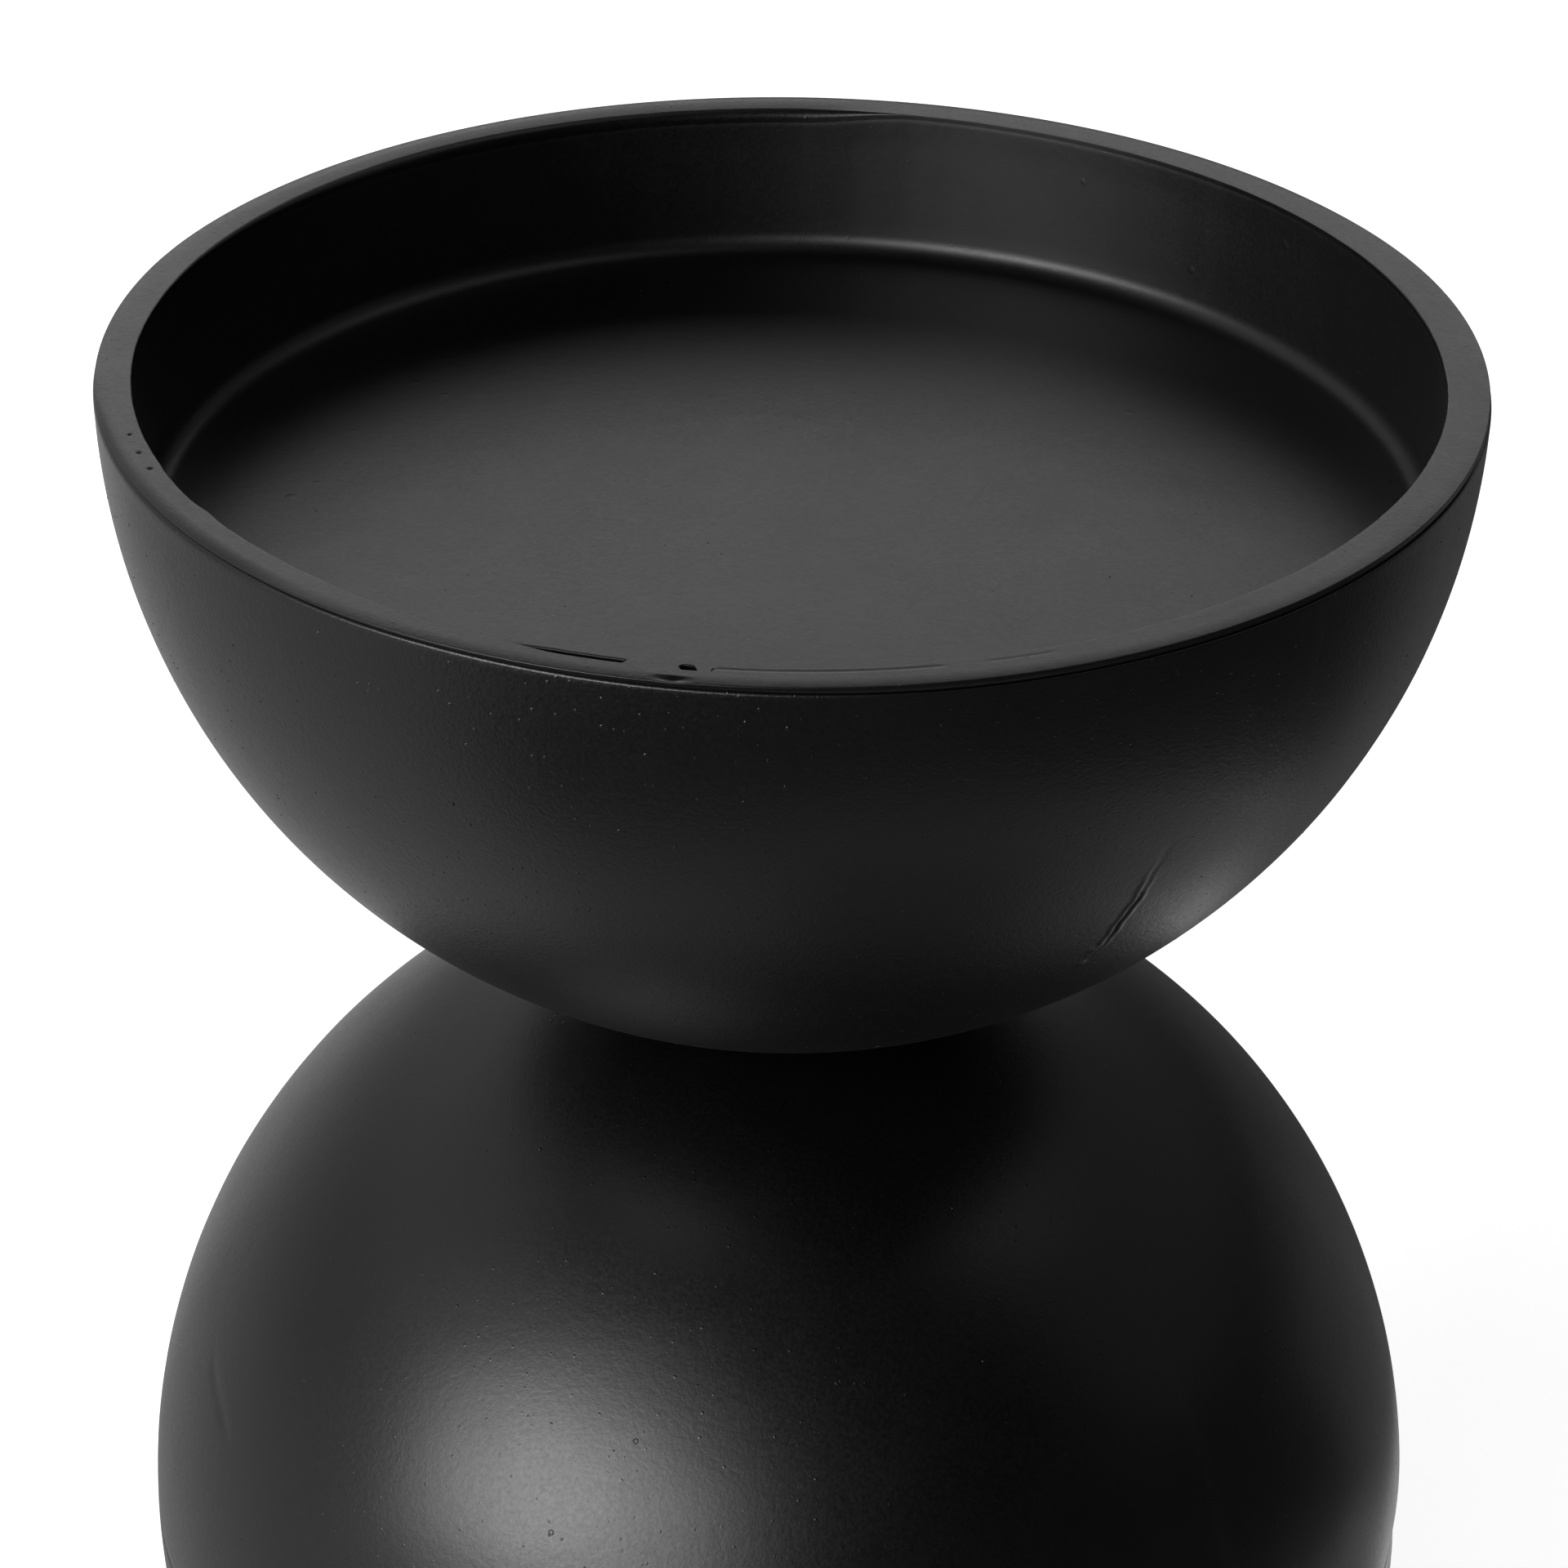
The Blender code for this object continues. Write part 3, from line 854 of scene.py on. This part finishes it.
def nib_piece(name, shape, coat):
    """Turns the grains into a piece of its own on the coat."""
    mesh = bpy.data.meshes.new(name)
    shape.to_mesh(mesh)
    shape.free()
    mesh.shade_smooth()
    mesh.materials.append(coat)
    piece = linked_object(name, mesh)
    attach(piece, "root")
    return piece


def on_pan_wall(turn, depth):
    """A point and the inward normal on the recess's wall, at a depth in mm below the rim's top."""
    outward = direction(turn, 0.0)
    share = 1 - depth * MM / (HEIGHT - PAN_FLOOR)
    reach = PAN_FOOT_RADIUS + (mouth_radius(turn) - PAN_FOOT_RADIUS) * share
    return outward * reach + Vector((0, 0, HEIGHT - depth * MM)), -outward


def on_pan_floor(turn, radius):
    """A point on the recess's slightly dished floor, at a radius in mm."""
    a = math.radians(turn)
    share = min(1.0, radius * MM / (PAN_FOOT_RADIUS - PAN_FILLET))
    low = PAN_FLOOR - PAN_DISH * (1 - share ** 2)
    return Vector((radius * MM * math.sin(a), -radius * MM * math.cos(a), low))


def make_pan_specks(coat):
    """Dust under the pan's coat: low soft lumps, thick near the foot of the wall on one side, and nibs."""
    shape = bmesh.new()
    source = random.Random(53)
    up = Vector((0, 0, 1))
    lumps = [(on_pan_wall(turn, depth), size) for turn, depth, size in WALL_LUMPS]
    for _ in range(LUMP_COUNT):
        spot = on_pan_wall(source.gauss(120, 9), source.uniform(7.6, 10.2))
        lumps.append((spot, source.uniform(0.28, 0.55)))
    for turn, radius, size in FLOOR_LUMPS:
        lumps.append(((on_pan_floor(turn, radius), up), size))
    for (point, normal), size in lumps:
        add_nib(shape, point, normal, size * MM, LUMP_RISE, LUMP_SUNK)
    for _ in range(FLOOR_NIB_COUNT):
        spot = on_pan_floor(source.uniform(-180, 180), 44 * math.sqrt(source.random()))
        add_nib(shape, spot, up, source.uniform(0.035, 0.075) * MM, SPECK_RISE)
    return nib_piece("pan_coat_specks", shape, coat)


# ---------------------------------------------------------------- stage, light and camera

# Half the table's width, how far the painted-reflection cards lie above it, and how far the lights stand
# from their aim.
FLOOR_REACH = 4.0
CARD_LIFT = 1.0 * MM
LIGHT_DISTANCE = 1.6
AIM = Vector((0, 0, 0.07))

# Painted reflections: glowing cards on the table that only the gloss sees, so the coat reflects a darker
# table than the pale floor the camera sees. Columns: name, inner and outer radius, first and last turn,
# radiance.
PAINTED_REFLECTIONS = [
    ("painted_reflection_left", 0.03, 3.0, -135, -50, 0.48),
    ("painted_reflection_front_left", 0.03, 0.14, -50, 0, 0.29),
    ("painted_reflection_front", 0.03, 0.13, 0, 60, 0.08),
    ("painted_reflection_right", 0.03, 0.13, 60, 110, 0.28),
    ("painted_reflection_front_far", 0.14, 3.0, -50, 110, 0.015),
    ("painted_reflection_behind_left", 0.03, 3.0, -180, -135, 0.64),
    ("painted_reflection_behind_right", 0.11, 3.0, 140, 180, 0.10),
    ("painted_reflection_right_far", 0.11, 3.0, 110, 140, 0.17),
]

# Soft panels: name, turn, level, width and height in degrees, radiance.
LIGHTS = [
    ("softbox", -42.5, 19, 26, 28, 3.75),
    ("scrim", -41.0, 18.5, 59, 29, 4.1),
    ("scrim_top", -41.5, 39, 40, 14, 1.2),
    ("wall_left", -115, 38, 78, 36, 0.49),
    ("wall_left_low", -118, 9, 76, 18, 0.30),
    ("window_left", -167, 18, 25, 10, 1.3),
    ("window_right", 167, 18, 25, 10, 0.82),
    ("wall_behind", 180, 33, 50, 22, 0.74),
    ("wall_right", 112, 30, 84, 36, 0.12),
    ("wall_right_high", 105, 64, 80, 32, 0.36),
    ("ceiling", 0, 86, 50, 50, 0.2),
]


def glowing_sheet(name, corners, lift, radiance):
    """A flat sheet of one face, at or just above the table's level, whose material glows evenly."""
    mesh = bpy.data.meshes.new(name)
    mesh.from_pydata([(x, y, 0.0) for x, y in corners], [], [tuple(range(len(corners)))])
    material, tree, shader, place = node_material(name)
    shader.inputs["Emission Color"].default_value = (*grey(1.0), 1.0)
    shader.inputs["Emission Strength"].default_value = radiance
    mesh.materials.append(material)
    return linked_object(name, mesh, (0, 0, lift)), tree, shader, place


def make_floor():
    """A large pale table top that glows a little, as a light table does."""
    r = FLOOR_REACH
    corners = [(-r, -r), (r, -r), (r, r), (-r, r)]
    floor, tree, shader, place = glowing_sheet("studio_floor", corners, 0.0, 0.75)
    cloud = noise(tree, place, 3.0)
    tree.links.new(tint(tree, cloud, grey(0.84), grey(0.86)), shader.inputs["Base Color"])
    shader.inputs["Roughness"].default_value = 0.8
    shader.inputs["Specular IOR Level"].default_value = 0.2


def make_painted_reflection(name, near, far, start, end, radiance):
    """A painted reflection: a glowing card on the table that only the gloss sees, a sector between two
    radii and two turns.
    """
    angles = [math.radians(a) for a in np.linspace(start, end, 25)]
    inner = [(near * math.sin(a), -near * math.cos(a)) for a in angles]
    outer = [(far * math.sin(a), -far * math.cos(a)) for a in reversed(angles)]
    reflection_sheet, tree, shader, place = glowing_sheet(name, inner + outer, CARD_LIFT, radiance)
    # The card's dark colour and its glow make up a painted reflection of the table.
    cloud = noise(tree, place, 5.0)
    tree.links.new(tint(tree, cloud, grey(0.02), grey(0.03)), shader.inputs["Base Color"])
    shader.inputs["Roughness"].default_value = 1.0
    shader.inputs["Specular IOR Level"].default_value = 0.0
    # Only gloss rays see the card, so the coat shows its glow as a painted reflection in place of the pale
    # floor.
    reflection_sheet.visible_camera = False
    reflection_sheet.visible_diffuse = False
    reflection_sheet.visible_shadow = False
    reflection_sheet.visible_transmission = False


def area_light(name, turn, level, wide, tall, radiance):
    """A soft panel of an even radiance, given by where it stands in degrees and how much it covers."""
    data = bpy.data.lights.new(name, "AREA")
    data.shape = "RECTANGLE"
    half_wide, half_tall = math.radians(wide / 2), math.radians(tall / 2)
    data.size = 2 * LIGHT_DISTANCE * math.tan(half_wide) * math.cos(math.radians(level))
    data.size_y = 2 * LIGHT_DISTANCE * math.tan(half_tall)
    data.energy = 4 * data.size * data.size_y * radiance
    away = direction(turn, level)
    light = linked_object(name, data, AIM + away * LIGHT_DISTANCE)
    light.rotation_mode = "QUATERNION"
    light.rotation_quaternion = away.to_track_quat("Z", "Y")
    light.visible_camera = False


def make_world():
    """A dim room for the gloss and the light. A view that looks past the floor sees it pale."""
    world = bpy.data.worlds.new("studio")
    bpy.context.scene.world = world
    world.use_nodes = True
    tree = world.node_tree
    tree.nodes.clear()
    room = tree.nodes.new("ShaderNodeBackground")
    room.inputs["Color"].default_value = (0.004, 0.004, 0.004, 1.0)
    pale = tree.nodes.new("ShaderNodeBackground")
    pale.inputs["Color"].default_value = (0.95, 0.95, 0.95, 1.0)
    path = tree.nodes.new("ShaderNodeLightPath")
    mix = tree.nodes.new("ShaderNodeMixShader")
    out = tree.nodes.new("ShaderNodeOutputWorld")
    tree.links.new(path.outputs["Is Camera Ray"], mix.inputs["Fac"])
    tree.links.new(room.outputs["Background"], mix.inputs[1])
    tree.links.new(pale.outputs["Background"], mix.inputs[2])
    tree.links.new(mix.outputs["Shader"], out.inputs["Surface"])


# The camera, from a fit to the photograph: metres from the middle of the rim, degrees, and mm.
CAMERA_DISTANCE = 0.37815
CAMERA_LEVEL = 24.761
CAMERA_PITCH = 29.416
CAMERA_YAW = -0.042
CAMERA_ROLL = 0.709
SENSOR_WIDTH = 36.0
FOCAL_LENGTH = 120.36


def make_camera():
    """Camera in front of the rim and above it, aimed below the rim's middle."""
    data = bpy.data.cameras.new("camera")
    data.sensor_width = SENSOR_WIDTH
    data.lens = FOCAL_LENGTH
    data.clip_start = 0.01
    data.clip_end = 20.0
    place = Vector((0, 0, HEIGHT)) + CAMERA_DISTANCE * direction(0.0, CAMERA_LEVEL)
    camera = linked_object("camera", data, place)
    pitch, yaw, roll = (math.radians(v) for v in (CAMERA_PITCH, CAMERA_YAW, CAMERA_ROLL))
    ahead = Vector((math.sin(yaw) * math.cos(pitch), math.cos(yaw) * math.cos(pitch), -math.sin(pitch)))
    right = ahead.cross(Vector((0, 0, 1))).normalized()
    up = right.cross(ahead)
    tilted_right = math.cos(roll) * right + math.sin(roll) * up
    tilted_up = math.cos(roll) * up - math.sin(roll) * right
    axes = Matrix((tilted_right, tilted_up, -ahead)).transposed()
    camera.rotation_mode = "QUATERNION"
    camera.rotation_quaternion = axes.to_quaternion()
    bpy.context.scene.camera = camera


# ---------------------------------------------------------------- everything together

def dress_inner_pieces():
    """Metal finishes for the CAD pieces that stay as they are inside."""
    zinc = bare_metal("zinc_plate", (0.55, 0.56, 0.58), (0.68, 0.69, 0.71), 0.28, 0.42, 400.0, 0.004 * MM)
    steel = bare_metal("plain_steel", (0.34, 0.34, 0.35), (0.48, 0.48, 0.49), 0.32, 0.5, 150.0, 0.006 * MM)
    iron = bare_metal("cast_iron", (0.08, 0.08, 0.08), (0.16, 0.155, 0.15), 0.6, 0.85, 200.0, 0.06 * MM)
    finishes = {"zinc_plate": zinc, "plain_steel": steel, "cast_iron": iron}
    for part in frame["record"]["subparts"]:
        finish = finishes.get(part["material_slot"])
        if finish:
            mesh = frame["nodes"][part["node"]].data
            mesh.materials.clear()
            mesh.materials.append(finish)


def main():
    make_camera()
    make_world()
    for light in LIGHTS:
        area_light(*light)
    make_floor()
    # Painted reflections of a darker table, which only the gloss sees.
    for reflection_sheet in PAINTED_REFLECTIONS:
        make_painted_reflection(*reflection_sheet)

    coat = powder_coat("black_powder_coat", 0.8)
    bowl_coat = powder_coat("black_powder_coat_bowl", 2.0)
    dusty_coat = powder_coat("black_powder_coat_dusty", 0.4, dusty=True)
    make_bowl(bowl_coat)
    make_rim(coat)
    make_pan(dusty_coat)
    make_neck(coat)
    make_ball_upper(coat)
    make_ball_lower(coat)
    make_pad(rubber())
    make_pan_specks(dusty_coat)
    make_nibs("bowl_coat_nibs", bowl_coat, HEIGHT, levels=(-70, -2), count=1400, seed=51, known=BOWL_NIBS)
    make_nibs("ball_coat_nibs", coat, SEAM_Z, levels=(-60, 70), count=170, seed=52,
              known=BALL_NIBS, craters=BALL_CRATERS)
    dress_inner_pieces()
    bpy.context.scene.view_settings.view_transform = "Standard"


main()
